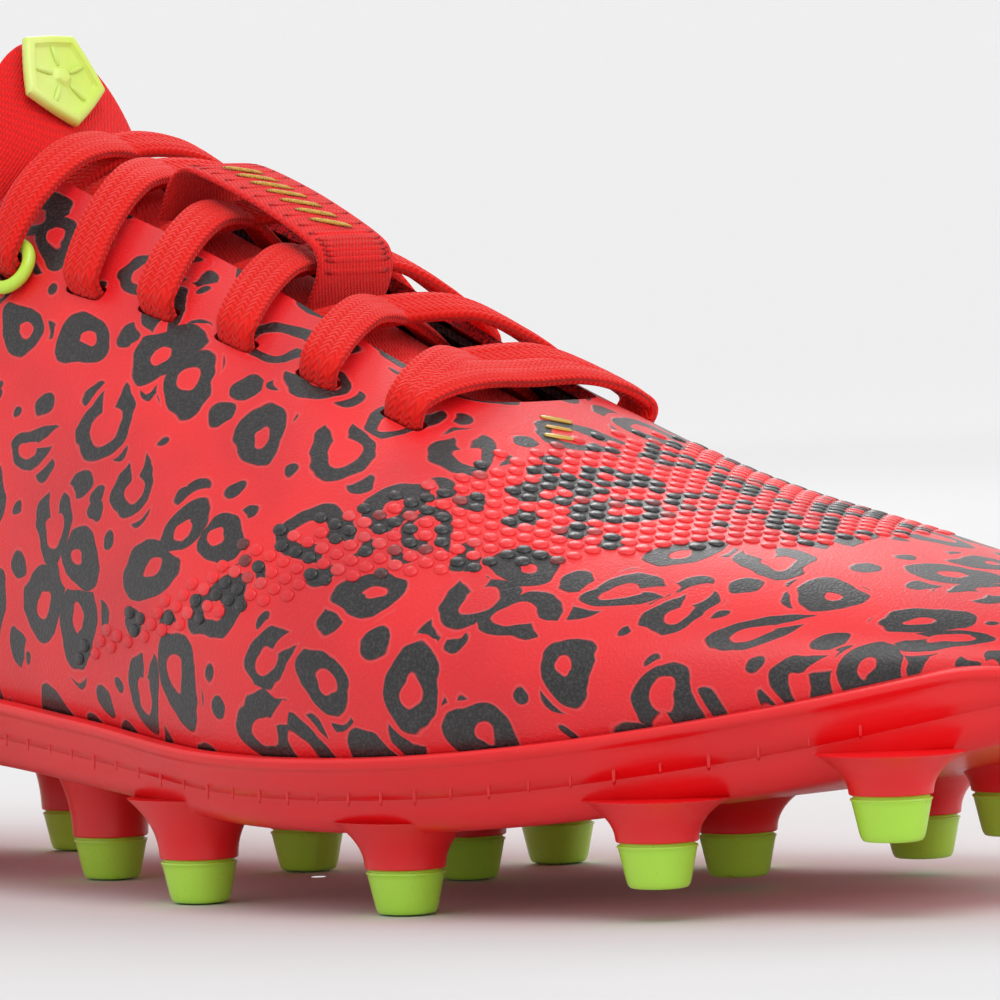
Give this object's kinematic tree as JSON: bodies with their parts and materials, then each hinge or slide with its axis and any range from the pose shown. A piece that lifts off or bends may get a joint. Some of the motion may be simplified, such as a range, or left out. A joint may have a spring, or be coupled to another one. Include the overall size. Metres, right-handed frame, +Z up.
{
  "type": "soccer cleat",
  "caption": "Low-cut soccer cleat for the right foot with a moulded stud plate, padded collar, laced throat, folding tongue top and lift-up sockliner.",
  "frame": {"origin": "middle of the ground under the shoe", "axes": "+X towards the toe, +Y towards the medial (inner) side, +Z up"},
  "size_m": [0.2802, 0.0978, 0.1159],
  "materials": {
    "outsole_red": "satin",
    "stud_green": "satin",
    "upper_print": "satin",
    "collar_knit": "matt",
    "collar_cloth": "matt",
    "lining_cloth": "matt",
    "stiffener": "matt",
    "board": "matt",
    "sockliner_foam": "matt",
    "tape": "matt",
    "ring_green": "gloss",
    "tongue_cloth": "matt",
    "badge_green": "satin",
    "lace_cord": "matt",
    "webbing": "matt"
  },
  "bodies": {
    "shoe": {"collar_padding": "collar_cloth", "collar_panel": "collar_knit", "eyelet_ring_lateral": "ring_green", "eyelet_ring_medial": "ring_green", "eyestay_lateral": "tape", "eyestay_medial": "tape", "heel_counter": "stiffener", "lace": "lace_cord", "lace_keeper": "webbing", "lasting_board": "board", "lining": "lining_cloth", "outsole": "outsole_red", "stud_tip_centre_1": "stud_green", "stud_tip_centre_2": "stud_green", "stud_tip_centre_3": "stud_green", "stud_tip_centre_4": "stud_green", "stud_tip_lateral_1": "stud_green", "stud_tip_lateral_2": "stud_green", "stud_tip_lateral_3": "stud_green", "stud_tip_lateral_4": "stud_green", "stud_tip_lateral_heel_back": "stud_green", "stud_tip_lateral_heel_front": "stud_green", "stud_tip_medial_1": "stud_green", "stud_tip_medial_2": "stud_green", "stud_tip_medial_3": "stud_green", "stud_tip_medial_4": "stud_green", "stud_tip_medial_heel_back": "stud_green", "stud_tip_medial_heel_front": "stud_green", "toe_puff": "stiffener", "tongue_base": "tongue_cloth", "upper": "upper_print"},
    "tongue_top": {"tongue_flap": "tongue_cloth", "tongue_badge": "badge_green"},
    "loose_sockliner": {"sockliner": "sockliner_foam"}
  },
  "joints": [
    {"name": "tongue_flap_fold", "type": "hinge", "parent": "shoe", "child": "tongue_top", "pos_m": [-0.0412, -0.00054, 0.101], "axis": [0, 1, 0], "range_deg": [0, 50], "stiffness_Nm_per_rad": 0.05},
    {"name": "sockliner_lift", "type": "hinge", "parent": "shoe", "child": "loose_sockliner", "pos_m": [0.117, 0, 0.0285], "axis": [0, 1, 0], "range_deg": [0, 3]}
  ]
}
